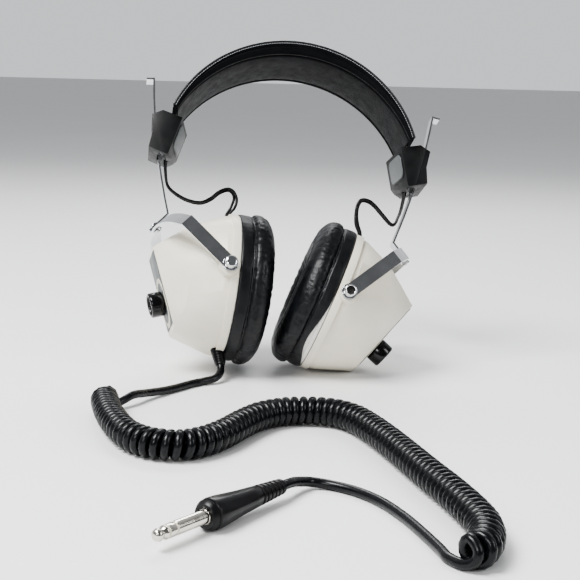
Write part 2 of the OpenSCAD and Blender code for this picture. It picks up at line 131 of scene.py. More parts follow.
cam_data = bpy.data.cameras.new("camera")
cam_data.sensor_width = 36.0
cam_data.lens = 77.13
cam_data.clip_start, cam_data.clip_end = 0.01, 50.0
camera = bpy.data.objects.new("camera", cam_data)
SCENE.collection.objects.link(camera)
az, pitch, tip = math.radians(-7.476), math.radians(9.955), math.radians(1.5)
right = Vector((math.cos(az), math.sin(az), 0))
ahead = Vector((-math.sin(az) * math.cos(pitch), math.cos(az) * math.cos(pitch), -math.sin(pitch)))
up = right.cross(ahead)
right, up = right * math.cos(tip) + up * math.sin(tip), up * math.cos(tip) - right * math.sin(tip)
camera.matrix_world = (Matrix.Translation((-0.1124, -0.8328, 0.1994))
                       @ Matrix((right, up, -ahead)).transposed().to_4x4())
SCENE.camera = camera

# ---- materials -------------------------------------------------------------------------------


class Mat:
    """A procedural material: colour, roughness and bump all vary with place on the object."""

    def __init__(self, name, base, rough, metal=0.0, coat=0.0, sheen=0.0, ior=1.5):
        self.m = bpy.data.materials.new(name)
        self.m.use_nodes = True
        self.nt = self.m.node_tree
        self.b = self.nt.nodes["Principled BSDF"]
        self.b.inputs["Base Color"].default_value = (*base, 1)
        self.b.inputs["Roughness"].default_value = rough
        self.b.inputs["Metallic"].default_value = metal
        self.b.inputs["Coat Weight"].default_value = coat
        self.b.inputs["Coat Roughness"].default_value = 0.12
        self.b.inputs["Sheen Weight"].default_value = sheen
        self.b.inputs["IOR"].default_value = ior
        if metal == 0 and max(base) < 0.05:
            self.b.inputs["Specular IOR Level"].default_value = 0.3
        self.base, self.rough = base, rough
        self.co = self.nt.nodes.new("ShaderNodeTexCoord").outputs["Object"]
        self.normal = None

    def link(self, a, b):
        self.nt.links.new(a, b)

    def noise(self, scale, detail=4.0, rough=0.55, stretch=None):
        n = self.nt.nodes.new("ShaderNodeTexNoise")
        n.inputs["Scale"].default_value = scale
        n.inputs["Detail"].default_value = detail
        n.inputs["Roughness"].default_value = rough
        self.link(self.stretched(stretch), n.inputs["Vector"])
        return n.outputs["Fac"]

    def cells(self, scale, feature="DISTANCE_TO_EDGE", stretch=None):
        n = self.nt.nodes.new("ShaderNodeTexVoronoi")
        n.feature = feature
        n.inputs["Scale"].default_value = scale
        self.link(self.stretched(stretch), n.inputs["Vector"])
        return n.outputs["Distance"]

    def stretched(self, stretch):
        if stretch is None:
            return self.co
        n = self.nt.nodes.new("ShaderNodeMapping")
        n.inputs["Scale"].default_value = stretch
        self.link(self.co, n.inputs["Vector"])
        return n.outputs["Vector"]

    def remap(self, fac, lo, hi, a=0.3, b=0.7):
        n = self.nt.nodes.new("ShaderNodeMapRange")
        for key, value in (("From Min", a), ("From Max", b), ("To Min", lo), ("To Max", hi)):
            n.inputs[key].default_value = value
        self.link(fac, n.inputs["Value"])
        return n.outputs["Result"]

    def tint(self, fac, dark, light):
        n = self.nt.nodes.new("ShaderNodeMix")
        n.data_type = "RGBA"
        n.inputs["A"].default_value = (*[c * dark for c in self.base], 1)
        n.inputs["B"].default_value = (*[min(1, c * light) for c in self.base], 1)
        self.link(self.remap(fac, 0, 1), n.inputs["Factor"])
        self.link(n.outputs["Result"], self.b.inputs["Base Color"])
        return self

    def gloss(self, fac, spread):
        self.link(self.remap(fac, self.rough - spread, self.rough + spread), self.b.inputs["Roughness"])
        return self

    def bump(self, fac, strength, distance):
        n = self.nt.nodes.new("ShaderNodeBump")
        n.inputs["Strength"].default_value = strength
        n.inputs["Distance"].default_value = distance
        self.link(fac, n.inputs["Height"])
        if self.normal is not None:
            self.link(self.normal, n.inputs["Normal"])
        self.normal = n.outputs["Normal"]
        self.link(self.normal, self.b.inputs["Normal"])
        return self


def leather(name, base, rough, grain, coat, shine=0.3):
    m = Mat(name, base, rough, coat=coat)
    m.b.inputs["Specular IOR Level"].default_value = shine
    m.tint(m.noise(70), 0.8, 1.3).gloss(m.noise(160, 5), 0.07)
    m.bump(m.cells(grain, "SMOOTH_F1"), 0.28, 0.0004)
    m.bump(m.noise(grain * 1.7, 3), 0.18, 0.0003)
    return m.bump(m.noise(55, 3), 0.1, 0.001)


def plastic(name, base, rough, texture=0.06, coat=0.0, spread=0.06, fine=2600):
    m = Mat(name, base, rough, coat=coat)
    m.tint(m.noise(28, 5), 0.93, 1.05).gloss(m.noise(190, 6), spread)
    m.bump(m.noise(fine, 2), texture, 0.00025)
    return m.bump(m.noise(40, 2), 0.05, 0.0012)


def metal(name, base, rough, spread=0.05, scratch=0.06, stretch=(1, 1, 14)):
    m = Mat(name, base, rough, metal=1.0)
    m.tint(m.noise(60, 5), 0.86, 1.06).gloss(m.noise(240, 6), spread)
    m.bump(m.noise(420, 3, stretch=stretch), scratch, 0.0002)
    return m.bump(m.noise(45, 2), 0.04, 0.001)


MATS = {
    "headband_leather": leather("headband_leather", (0.0026, 0.003, 0.0038), 0.5, 1150, 0.0, shine=0.08),
    "pad_leather": leather("pad_leather", (0.003, 0.0036, 0.0048), 0.38, 1500, 0.04, shine=0.34),
    "shell_cream": plastic("shell_cream", (0.74, 0.70, 0.595), 0.36, 0.03, coat=0.15),
    "baffle_white": plastic("baffle_white", (0.78, 0.77, 0.72), 0.45, 0.05),
    "block_plastic": plastic("block_plastic", (0.003, 0.0033, 0.0038), 0.42, 0.12),
    "label_grey": plastic("label_grey", (0.105, 0.115, 0.118), 0.40, 0.12),
    "knob_plastic": plastic("knob_plastic", (0.003, 0.003, 0.0035), 0.16, 0.02, coat=0.3, spread=0.05),
    "wire_black": plastic("wire_black", (0.0035, 0.0035, 0.004), 0.28, 0.08, fine=1800),
    "cord_rubber": plastic("cord_rubber", (0.0035, 0.004, 0.0052), 0.27, 0.06, fine=1500),
    "plug_plastic": plastic("plug_plastic", (0.004, 0.004, 0.0048), 0.33, 0.10),
    "insulator": plastic("insulator", (0.62, 0.58, 0.46), 0.40, 0.04),
    "chrome": metal("chrome", (0.74, 0.75, 0.77), 0.10),
    "nickel": metal("nickel", (0.70, 0.67, 0.61), 0.17, stretch=(1, 1, 1)),
    "spring_steel": metal("spring_steel", (0.56, 0.57, 0.58), 0.28),
    "brass": metal("brass", (0.60, 0.47, 0.24), 0.25),
    "driver_steel": metal("driver_steel", (0.09, 0.09, 0.10), 0.40),
    "driver_cone": plastic("driver_cone", (0.05, 0.046, 0.04), 0.8, 0.4, fine=900),
}
foam = Mat("foam", (0.06, 0.06, 0.062), 0.95)
foam.tint(foam.cells(900, "F1"), 0.4, 1.5).bump(foam.cells(900, "F1"), 0.9, 0.0008)
MATS["foam"] = foam
MATS["dial_pale"] = plastic("dial_pale", (0.62, 0.60, 0.50), 0.42, 0.06)
MATS["rim_dark"] = plastic("rim_dark", (0.02, 0.019, 0.018), 0.6, 0.2)

SLOTS = {x["node"]: x["material_slot"] for x in frame["record"]["subparts"]}
for n, o in frame["nodes"].items():
    o.data.materials.clear()
    o.data.materials.append(MATS[SLOTS[n]].m)

# ---- making pieces ---------------------------------------------------------------------------


def make(name, verts, faces, where, mat, body, slot, smooth=True, stands_for=()):
    """A mesh piece from points in a local frame, in millimetres."""
    data = bpy.data.meshes.new(name)
    data.from_pydata([where @ Vector(v) for v in verts], [], faces)
    o = bpy.data.objects.new(name, data)
    SCENE.collection.objects.link(o)
    return finish_piece(o, where.determinant() < 0, mat, body, smooth, stands_for)


def finish_piece(o, flip, mat, body, smooth, stands_for):
    """Gives a piece its material and body. flip turns the faces of a mirrored piece outwards."""
    bm = bmesh.new()
    bm.from_mesh(o.data)
    if flip:
        bmesh.ops.reverse_faces(bm, faces=bm.faces)
    bm.to_mesh(o.data)
    bm.free()
    o.data.materials.clear()
    o.data.materials.append(MATS[mat].m)
    if smooth:
        for p in o.data.polygons:
            p.use_smooth = True
    if body:
        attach(o, body)
    if stands_for:
        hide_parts(*stands_for)
    return o


def sharp_by_angle(o, deg):
    """Smooth shading with hard edges only above an angle."""
    for p in o.data.polygons:
        p.use_smooth = True
    bm = bmesh.new()
    bm.from_mesh(o.data)
    limit = math.radians(deg)
    for e in bm.edges:
        if len(e.link_faces) == 2 and e.calc_face_angle(0) > limit:
            e.smooth = False
    bm.to_mesh(o.data)
    bm.free()


WELD, FLAT, SEGMENTS = 0.02, 1.2, 3  # mm between merged points, degrees that count as flat, steps of a bevel


def refine(node, width, deg=32, shade=40):
    """A finer copy of a CAD piece. Edges sharper than deg are rounded by width mm, or kept if width is 0."""
    src = frame["nodes"][node]
    data = src.data.copy()
    data.name = node + "_fine"
    o = bpy.data.objects.new(data.name, data)
    SCENE.collection.objects.link(o)
    bm = bmesh.new()
    bm.from_mesh(data)
    bmesh.ops.remove_doubles(bm, verts=bm.verts, dist=WELD * MM)
    bmesh.ops.dissolve_limit(bm, angle_limit=math.radians(FLAT), verts=bm.verts, edges=bm.edges)
    bm.to_mesh(data)
    bm.free()
    if width:
        b = o.modifiers.new("round", "BEVEL")
        b.width = width * MM
        b.segments = SEGMENTS
        b.limit_method = "ANGLE"
        b.angle_limit = math.radians(deg)
        apply_modifiers(o)
    slot = SLOTS[node]
    data = o.data
    data.materials.clear()
    data.materials.append(MATS[slot].m)
    sharp_by_angle(o, shade)
    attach(o, src["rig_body"])
    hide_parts(node)
    return o


def apply_modifiers(o):
    dg = bpy.context.evaluated_depsgraph_get()
    dg.update()
    new = bpy.data.meshes.new_from_object(o.evaluated_get(dg))
    old = o.data
    o.modifiers.clear()
    o.data = new
    bpy.data.meshes.remove(old)


def grid_faces(rows, cols, close_rows=False, close_cols=True):
    faces = []
    for i in range(rows if close_rows else rows - 1):
        for j in range(cols if close_cols else cols - 1):
            a, b = i * cols + j, i * cols + (j + 1) % cols
            c = ((i + 1) % rows) * cols
            faces.append((a, b, c + (j + 1) % cols, c + j))
    return faces


def revolve(profile, n, wobble=None):
    """Turns a list of (x, r) about the x axis. Its ends are left open."""
    verts = []
    for k in range(n):
        a = TAU * k / n
        for i, (x, r) in enumerate(profile):
            if wobble:
                x, r = wobble(x, r, a, i)
            verts.append((x, r * math.cos(a), r * math.sin(a)))
    return verts, grid_faces(n, len(profile), close_rows=True, close_cols=False)


def smooth_line(points, per):
    """Catmull-Rom through the points, per steps to a span."""
    p = [Vector(q) for q in points]
    p = [p[0] * 2 - p[1]] + p + [p[-1] * 2 - p[-2]]
    out = []
    for i in range(1, len(p) - 2):
        for k in range(per):
            t = k / per
            a, b, c, d = p[i - 1], p[i], p[i + 1], p[i + 2]
            out.append(0.5 * ((2 * b) + (c - a) * t + (2 * a - 5 * b + 4 * c - d) * t * t
                              + (3 * b - a - 3 * c + d) * t ** 3))
    out.append(p[-2])
    return out


def resample(line, n):
    d = [0.0]
    for a, b in zip(line, line[1:]):
        d.append(d[-1] + (b - a).length)
    out, j = [], 0
    for k in range(n):
        s = d[-1] * k / (n - 1)
        while j < len(d) - 2 and d[j + 1] < s:
            j += 1
        t = (s - d[j]) / max(d[j + 1] - d[j], 1e-9)
        out.append(line[j].lerp(line[j + 1], min(max(t, 0), 1)))
    return out


def length_of(line):
    return sum((b - a).length for a, b in zip(line, line[1:]))


def tube(line, radius, sides, up=Vector((0, 0, 1))):
    """Points and faces of a closed tube; radius may be a number or a function of the step."""
    verts, n = [], len(line)
    for i, c in enumerate(line):
        t = (line[min(i + 1, n - 1)] - line[max(i - 1, 0)]).normalized()
        s = up.cross(t).normalized()
        w = t.cross(s)
        r = radius(i / (n - 1)) if callable(radius) else radius
        for k in range(sides):
            a = TAU * k / sides
            verts.append(tuple(c + s * (r * math.cos(a)) + w * (r * math.sin(a))))
    faces = grid_faces(n, sides)
    faces.append(tuple(range(sides - 1, -1, -1)))
    faces.append(tuple((n - 1) * sides + k for k in range(sides)))
    return verts, faces


# ---- the cord: lead, curly part and tail on one line -------------------------------------------

LEAD = [(-55, -39, 19.6), (-53.5, -46.3, 10.4), (-54, -50.7, 6.4), (-57.5, -55, 3.8), (-65, -58.3, 2.7), (-73, -63.6, 2.5),
        (-81, -72, 2.5), (-90.5, -82, 3), (-100.5, -93, 4.5), (-109.5, -105, 6.5), (-115, -111, 5.2),
        (-120.6, -115, 3.2)]
COIL = [(-126.8, -116.4), (-125.8, -131), (-123, -154), (-117.7, -179), (-110.6, -198), (-99.5, -210),
        (-85.2, -213.4), (-72, -206), (-60.8, -192.4), (-50.6, -175.7), (-38.4, -160), (-24.2, -151.6), (-9, -150.4),
        (4.3, -155.6), (13.5, -168), (19.5, -188.8), (24.6, -214.8), (28.6, -240.9), (32.6, -268), (36.7, -293),
        (39.7, -319), (40, -337), (37, -351), (31.6, -361.5), (25.6, -367.5)]
TAIL = [(19.8, -360, 2.5), (18, -346.2, 2.5), (15.2, -328.6, 2.5),
        (11.2, -308.8, 2.5), (5, -289, 2.5), (-4, -273.5, 2.5), (-15, -263.5, 2.6), (-25, -261.6, 3.8),
        (-33, -268, 6.1), (-37, -273.2, 7.2), (-40.5, -277.2, 7.5)]
PITCH = 5.05
PER_TURN = 14
EASE_REACH, EASE_ROUNDS = 7, 14


def coil_line():
    """A helix wound round the curly part's own centreline, starting and ending on the floor."""
    spine = resample(smooth_line([(x, y, COIL_D / 2) for x, y in COIL], 24), 3000)
    total = length_of(spine)
    turns = math.floor(total / PITCH)
    steps = turns * PER_TURN
    r = COIL_D / 2 - CORD_D / 2
    out = []
    for k in range(steps + 1):
        f = k / steps * (len(spine) - 1)
        i = min(int(f), len(spine) - 2)
        c = spine[i].lerp(spine[i + 1], f - i)
        t = (spine[i + 1] - spine[i]).normalized()
        side = Vector((t.y, -t.x, 0))
        a = TAU * turns * k / steps
        out.append(c - Vector((0, 0, 1)) * (r * math.cos(a)) + side * (r * math.sin(a)))
    return out


helix = coil_line()
lead = smooth_line(LEAD + [tuple(helix[0])], 6)[:-1]
tail = smooth_line([tuple(helix[-1])] + TAIL, 6)[1:]
whole = lead + helix + tail
# the corners where the straight parts meet the curly part are rounded off
for joint in (len(lead), len(lead) + len(helix) - 1):
    for _ in range(EASE_ROUNDS):
        old = list(whole)
        for i in range(joint - EASE_REACH, joint + EASE_REACH + 1):
            whole[i] = (old[i - 1] + old[i] * 2 + old[i + 1]) / 4
curve = bpy.data.curves.new("cord", "CURVE")
curve.dimensions = "3D"
curve.bevel_depth = CORD_D / 2 * MM
curve.bevel_resolution = 3
curve.use_fill_caps = True
spline = curve.splines.new("POLY")
spline.points.add(len(whole) - 1)
for p, q in zip(spline.points, whole):
    p.co = (q.x * MM, q.y * MM, max(q.z, CORD_D / 2) * MM, 1)
spline.use_smooth = True
curve.materials.append(MATS["cord_rubber"].m)
cord = bpy.data.objects.new("cord", curve)
SCENE.collection.objects.link(cord)
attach(cord, "left_cup")
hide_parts("cord_lead", "cord_coil", "cord_tail")

# ---- leather: headband -----------------------------------------------------------------------

BAND_R, BAND_W, BAND_HALF = 88.5, 52.0, 70.0
FOAM_DROP, FOAM_R = 8.6, 87.6


def inner_r(a):
    return -FOAM_DROP * math.cos(a) + math.sqrt(FOAM_R ** 2 - (FOAM_DROP * math.sin(a)) ** 2)


def band_point(a, y, r):
    return (r * math.sin(a), y, r * math.cos(a))


def bump_at(y, centre, width):
    return math.exp(-((y - centre) / width) ** 2)


def band_section(a):
    """One cross-section of the padded band, as (y, r), starting at the outer face's middle."""
    half = BAND_W / 2 - 0.35
    ri = inner_r(a)
    thick = BAND_R - ri
    pts = []
    for sgn in (1, -1):
        run = []
        for i in range(13):
            y = (half - 1.5) * i / 12
            run.append((y, BAND_R - 0.25 - 0.25 * (y / half) ** 2 - 0.35 * bump_at(y, half - 3.2, 0.7)))
        for i in range(1, 6):
            t = math.pi / 2 * i / 5
            run.append((half - 1.5 + 1.5 * math.sin(t), BAND_R - 2.0 + 1.5 * math.cos(t)))
        wall = thick - 4.0
        for i in range(1, 11):
            f = i / 11
            seam = bump_at(f, 0.42, 0.07)
            bulge = 0.5 * math.sin(math.pi * min(1, max(0, (f - 0.42) / 0.58)))
            run.append((half - 0.75 * seam + bulge - 0.3, BAND_R - 2.0 - wall * f))
        for i in range(1, 7):
            t = math.pi / 2 * i / 6
            run.append((half - 2.3 + 2.3 * math.cos(t), ri + 2.0 - 2.0 * math.sin(t)))
        for i in range(1, 25):
            y = (half - 2.3) * (1 - i / 24)
            crown = 0.9 * (1 - (y / (half - 4)) ** 4) if y < half - 4 else 0
            groove = 0.95 * bump_at(y, half - 4.4, 0.65)
            run.append((y, ri - crown * min(1, thick / 9) + groove + 0.1))
        if sgn > 0:
            pts += run
        else:
            pts += [(-y, r) for y, r in reversed(run[1:-1])]
    out = []
    for y, r in pts:
        lift = 0.0
        if r < BAND_R - 3:
            s = a * BAND_R
            lift = 0.4 * max(0, noise.noise(Vector((s * 0.10, y * 0.03, 3.1)))) ** 1.5
            lift += 0.04 * noise.noise(Vector((s * 0.4, y * 0.2, 7.7)))
            lift *= min(1, max(0, (half - 3 - abs(y)) / 5)) if abs(y) < half - 2 else 0.25
            r += lift
        else:
            r += 0.05 * noise.noise(Vector((a * 30, y * 0.2, 1.0)))
        out.append((y, r))
    return out


STEPS = 281
verts = []
for k in range(STEPS):
    a = math.radians(BAND_HALF) * (2 * k / (STEPS - 1) - 1)
    section = band_section(a)
    verts += [band_point(a, y, r) for y, r in section]
cols = len(section)
faces = grid_faces(STEPS, cols)
faces.append(tuple(range(cols)))
faces.append(tuple((STEPS - 1) * cols + k for k in reversed(range(cols))))
headband = make("headband_padding", verts, faces, BAND, "headband_leather", "headband", "headband_leather",
                stands_for=("headband_cover", "headband_foam"))
sharp_by_angle(headband, 55)


def arc_line(y, r, half=BAND_HALF, n=240):
    return [Vector(band_point(math.radians(half) * (2 * k / (n - 1) - 1), y, r)) for k in range(n)]


def join(parts):
    verts, faces = [], []
    for v, f in parts:
        off = len(verts)
        verts += v
        faces += [tuple(i + off for i in face) for face in f]
    return verts, faces


def stitch(centre, along, out, length, radius):
    """One short sewn stitch: a thread that dips into the leather at both ends."""
    along, out = along.normalized(), out.normalized()
    line = []
    for i in range(7):
        t = i / 6
        height = radius * (1.7 * math.sin(math.pi * t) - 0.9)
        line.append(centre + along * (length * (t - 0.5)) + out * height)
    return tube(line, radius, 6, out)


MATS["thread"] = plastic("thread", (0.30, 0.31, 0.32), 0.5, 0.3)
MATS["piping"] = leather("piping", (0.012, 0.013, 0.015), 0.30, 1700, 0.3)
make("headband_piping", *join([tube(arc_line(sgn * 25.35, 87.75, 69.9), 0.62, 10, Vector((0, 1, 0)))
                               for sgn in (-1, 1)]), BAND, "piping", "headband", "headband_leather")
sewn = []
for sgn in (-1, 1):
    n = 124
    for k in range(n):
        a = math.radians(BAND_HALF - 0.9) * (2 * k / (n - 1) - 1)
        at = Vector(band_point(a, sgn * 25.72, 86.35 + 0.06 * noise.noise(Vector((k, sgn, 0)))))
        along = Vector((math.cos(a), 0.09 * sgn, -math.sin(a)))
        sewn.append(stitch(at, along, Vector((0, sgn, 0)), 1.25, 0.22))
make("headband_stitches", *join(sewn), BAND, "thread", "headband", "headband_leather")

# ---- leather: ear pads -----------------------------------------------------------------------

PAD_LINE = [(-4.7, 45.2), (-4.6, 47.4), (-3.6, 48.02), (-0.9, 48.05), (-0.4, 48.35), (-0.7, 48.85), (-2.6, 49.15),
            (-5.5, 49.1), (-8.2, 48.9), (-9.2, 47.9), (-9.9, 48.5),
            (-11, 49.9), (-13.2, 50.5), (-15.6, 50.4), (-18.2, 49.3), (-20.6, 47.3), (-22.6, 44.2), (-23.9, 40.8),
            (-24.3, 38.2), (-23.9, 37.3), (-24.5, 36.2), (-25.0, 33.4), (-24.6, 30.4), (-23.2, 27.4), (-20.8, 25.0),
            (-17.6, 23.3), (-13.5, 22.3), (-9.4, 22.0), (-8.3, 23.5), (-8.2, 34), (-8.2, 43.6)]


def smooth_profile(points, per, n):
    """A rounder profile of n points, from a list of (x, r)."""
    return [(p.x, p.y) for p in resample(smooth_line([(x, r, 0) for x, r in points], per), n)]


def pad_mesh(s):
    """The pad's section turned about the cup's axis, with gathers at both seams and soft creases."""
    line = smooth_profile(PAD_LINE + PAD_LINE[:1], 10, 121)[:-1]
    n = len(line)
    normal = []
    for i in range(n):
        dx, dr = line[(i + 1) % n][0] - line[i - 1][0], line[(i + 1) % n][1] - line[i - 1][1]
        d = math.hypot(dx, dr)
        normal.append((-dr / d, dx / d))
    outward = 1 if normal[12][1] > 0 else -1
    seam_u = -9.2
    seed = 11.0 if s < 0 else 47.0

    def wobble(x, r, a, i):
        ca, sa = math.cos(a), math.sin(a)
        nx, nr = normal[i][0] * outward, normal[i][1] * outward
        around = a * 50
        # distance from the two sewn seams
        d_rim = abs(x - seam_u) if r > 44 else 99
        d_face = math.hypot(x + 23.9, r - 37.3)
        loop = Vector((ca * 50 * 0.24, sa * 50 * 0.24, seed))
        fine = Vector((ca * 50 * 0.42, sa * 50 * 0.42, seed + x * 0.05))
        lift = 0.0
        if r > 22.5 and x < -8.6:
            pull = math.exp(-max(0, d_rim - 0.4) / 5.5)
            lift -= 0.62 * pull * max(0, 1 - abs(noise.noise(fine)) * 4.2) * min(1, d_rim / 0.8)
            pull = math.exp(-max(0, d_face - 0.4) / 4.5)
            gather = max(0, 1 - abs(noise.noise(fine * 1.1 + Vector((5, 2, 9)))) * 4.0)
            lift -= 0.34 * pull * gather * min(1, d_face / 0.9)
            lift += 0.3 * noise.noise(loop + Vector((0, 0, x * 0.05)))
            crease = noise.noise(Vector((ca * 50 * 0.11 + x * 0.05, sa * 50 * 0.11, seed + 20 + x * 0.14)))
            lift -= 0.3 * max(0, 1 - abs(crease) * 9) * min(1, max(0, (r - 24) / 6))
            radial = noise.noise(Vector((ca * 50 * 0.55, sa * 50 * 0.55, seed + 40 + x * 0.09 + r * 0.03)))
            middle = math.exp(-((x + 15.5) / 4.5) ** 2) if r > 44 else 0
            lift -= 0.42 * middle * max(0, 1 - abs(radial) * 5)
            lift += 0.07 * noise.noise(Vector((ca * 50 * 1.1, sa * 50 * 1.1, x * 0.9 + seed)))
        elif r > 46:
            lift += 0.10 * noise.noise(loop * 2.2)
        if s > 0 and r > 44.5 and x > -9.0:
            # the skirt has slipped off the rim, low at the front
            slip = math.exp(-((((a - math.radians(232) + math.pi) % TAU) - math.pi) / 0.42) ** 2)
            x -= 4.9 * slip * min(1, (x + 9.0) / 5.5)
        return x + nx * lift, r + nr * lift

    v, _ = revolve(line, 300, wobble)
    return v, grid_faces(300, n, close_rows=True, close_cols=True)


for s, side in SIDE.items():
    v, f = pad_mesh(s)
    make(side + "_ear_cushion", v, f, cup_frame(s), "pad_leather", side + "_cup", "pad_leather",
                   stands_for=(side + "_ear_pad",))
    # sewn thread along the rim seam
    n, round_ = 200, 8
    line = [Vector((-9.05, 48.25 * math.cos(TAU * k / n), 48.25 * math.sin(TAU * k / n))) for k in range(n)]
    v, f = tube(line, 0.42, round_, Vector((1, 0, 0)))
    last = (n - 1) * round_
    f = [q for q in f if len(q) == 4]
    f += [(last + k, last + (k + 1) % round_, (k + 1) % round_, k) for k in range(round_)]
    make(side + "_cushion_cord", v, f, cup_frame(s), "piping", side + "_cup", "pad_leather")

    cloth = [(-6.5, 0.01), (-6.9, 8), (-6.8, 15), (-6.3, 21), (-6.0, 26), (-6.1, 29.7), (-4.6, 29.7), (-4.5, 0.01)]
    cloth = smooth_profile(cloth, 8, 60)

    def weave(x, r, a, i):
        return x + 0.22 * noise.noise(Vector((r * math.cos(a) * 0.4, r * math.sin(a) * 0.4, 2))), r

    v, f = revolve(cloth, 96, weave)
    o = make(side + "_driver_cloth", v, f, cup_frame(s), "foam", side + "_cup", "foam",
             stands_for=(side + "_driver_foam",))

# ---- hard pieces: the design's own shapes with their edges rounded ----------------------------

for side in ("left_", "right_"):
    refine(side + "shell", 0.55, deg=26)
    refine(side + "baffle", 0.4, deg=40)
    refine(side + "yoke", 0, shade=25)
    refine(side + "yoke_washers", 0.15, deg=40)
    refine(side + "strap", 0, shade=25)
    refine(side + "swivel_rivet", 0.25, deg=40)
    refine(side + "slider_body", 0.45, deg=20)
    refine(side + "slider_cover", 0.45, deg=20)
    refine(side + "face_plate", 0.15, deg=40)
    refine(side + "wire_grommet", 0.35, deg=40)
    refine(side + "baffle_screws", 0.25, deg=40)
refine("slider_screws", 0.2, deg=40)

KNOB = [(1.1, 4.3), (1.1, 7.5), (1.3, 8.0), (1.8, 8.25), (5.4, 8.25), (8.9, 8.25), (9.4, 8.12), (9.85, 7.8), (10.08, 7.35),
        (10.1, 6.9), (10.05, 6.5), (9.8, 6.25), (9.0, 6.1), (8.9, 5.9), (8.9, 3.0), (8.9, 0.01)]
HEAD = {"plain": [(53.9, 0.01), (53.9, 3.9), (57.4, 3.9), (57.9, 3.75), (58.25, 3.4), (58.42, 2.6), (58.5, 1.2),
                  (58.5, 0.01)],
        "socket": [(53.9, 0.01), (53.9, 3.9), (57.5, 3.9), (58.1, 3.75), (58.4, 3.4), (58.5, 3.1), (58.4, 2.8), (58.1, 2.6),
                   (56.2, 2.45), (56.2, 0.01)]}


def plate_mesh(y0, y1, z0, z1, radius, thick, bevel):
    """A plate with round corners and a soft edge, its face towards -x."""
    rings = [(0.0, 0.0), (thick - bevel, 0.0), (thick - bevel * 0.3, bevel * 0.3), (thick, bevel)]
    n, verts = 6, []
    for x, inset in rings:
        r = radius - inset
        for cy, cz, a0 in ((y1 - radius, z1 - radius, 0), (y0 + radius, z1 - radius, 90),
                           (y0 + radius, z0 + radius, 180), (y1 - radius, z0 + radius, 270)):
            for k in range(n + 1):
                a = math.radians(a0 + 90 * k / n)
                verts.append((-x, cy + r * math.cos(a), cz + r * math.sin(a)))
    m = 4 * (n + 1)
    faces = [tuple(reversed(q)) for q in grid_faces(len(rings), m)]
    faces += [tuple(range(m)), tuple(3 * m + k for k in reversed(range(m)))]
    return verts, faces


for s, side in SIDE.items():
    where = side_frame(s) @ move(71, 15, 24.6) @ turn("Y", -14) @ turn("Z", 9)
    o = make(side + "_panel", *plate_mesh(-27.0, -5.0, -19.5, -3.0, 4.2, 0.9, 0.4), where, "label_grey",
             "headband", "label_grey", stands_for=(side + "_slider_plate",))
    sharp_by_angle(o, 60)
    make(side + "_panel_frame", *plate_mesh(-28.1, -3.9, -20.6, -1.9, 5.0, 0.35, 0.2), where, "block_plastic",
         "headband", "block_plastic")
    out = face_frame(s) @ move(KNOB_ALONG, 0, 0) @ turn("Y", -90)
    o = make(side + "_knob_cap", *revolve(KNOB, 96), out, "knob_plastic", side + "_knob", "knob_plastic",
             stands_for=(side + "_knob",))
    sharp_by_angle(o, 50)
    parts = []
    for way in (-1, 1):
        kind = "socket" if s > 0 and way < 0 else "plain"
        pin = revolve([(44, 0.01), (44, 1.98), (53.9, 1.98), (53.95, 0.01)], 48)
        head = revolve(HEAD[kind], 64)
        place = move(PIVOT[0], 0, PIVOT[1]) @ turn("Z", 90 * way)
        parts += [([tuple(place @ Vector(p)) for p in v], f) for v, f in (pin, head)]
    o = make(side + "_pivot_heads", *join(parts), cup_frame(s), "chrome", side + "_cup", "chrome",
             stands_for=(side + "_pivot_screws",))
    sharp_by_angle(o, 50)
    # the lip under the skirt of the pad, and the shadow line where it meets the shell
    lip = [(-3.1, 46.3), (-3.1, 47.75), (-5.2, 47.7), (-6.6, 47.5), (-7.0, 47.1), (-7.0, 46.3)]
    o = make(side + "_rim_lip", *revolve(lip, 160), cup_frame(s), "baffle_white", side + "_cup", "baffle_white")
    sharp_by_angle(o, 50)
    if s < 0:
        continue
    gap = [(-0.4, 46.8), (-0.4, 48.0), (-0.2, 48.15), (0.0, 48.15), (0.02, 46.8)]
    make(side + "_rim_shadow", *revolve(gap, 160), cup_frame(s), "rim_dark", side + "_cup", "baffle_white")
    place = cup_frame(s) @ move(PIVOT[0], 0, PIVOT[1]) @ turn("Z", -90)
    v, f = revolve([(56.25, 0.01), (56.3, 1.1), (56.3, 2.42), (57.9, 2.5)], 64)
    make("right_socket_shade", v, [tuple(reversed(q)) for q in f], place, "rim_dark", "right_cup", "chrome")

# the dial printed round each knob, longer than it is wide


def oval(a):
    return 1 + 0.57 * math.sin(a) ** 2


for s, side in SIDE.items():
    ring_line = [(0.45, 8.8), (0.72, 8.85), (0.75, 9.0), (0.75, 10.6), (0.7, 10.75), (0.45, 10.8)]
    v, f = revolve(ring_line, 96, lambda x, r, a, i: (x, r * oval(a)))
    where = face_frame(s) @ move(KNOB_ALONG, 0, 0) @ turn("Y", -90)
    make(side + "_dial", v, f, where, "dial_pale", side + "_cup", "label_grey")
    ticks = []
    for k in range(25):
        a = math.radians(-150 + 12.5 * k)
        long = 1.5 if k % 4 == 0 else 0.9
        e = Vector((0, -math.sin(a), math.cos(a))) * (0.22 if k % 4 == 0 else 0.12)
        out = Vector((0, math.cos(a), math.sin(a)))
        p = [Vector((0.7, 0, 0)) + out * (q * oval(a)) for q in (10.4 - long * 0.8, 10.4)]
        q = [p[0] - e, p[0] + e, p[1] + e, p[1] - e]
        top = [x + Vector((0.1, 0, 0)) for x in q]
        ticks.append(([tuple(x) for x in q + top], [(3, 2, 1, 0), (4, 5, 6, 7), (0, 1, 5, 4), (1, 2, 6, 5),
                                                    (2, 3, 7, 6), (3, 0, 4, 7)]))
    make(side + "_dial_marks", *join(ticks), where, "rim_dark", side + "_cup", "label_grey", smooth=False)

# ---- strain relief and plug -------------------------------------------------------------------


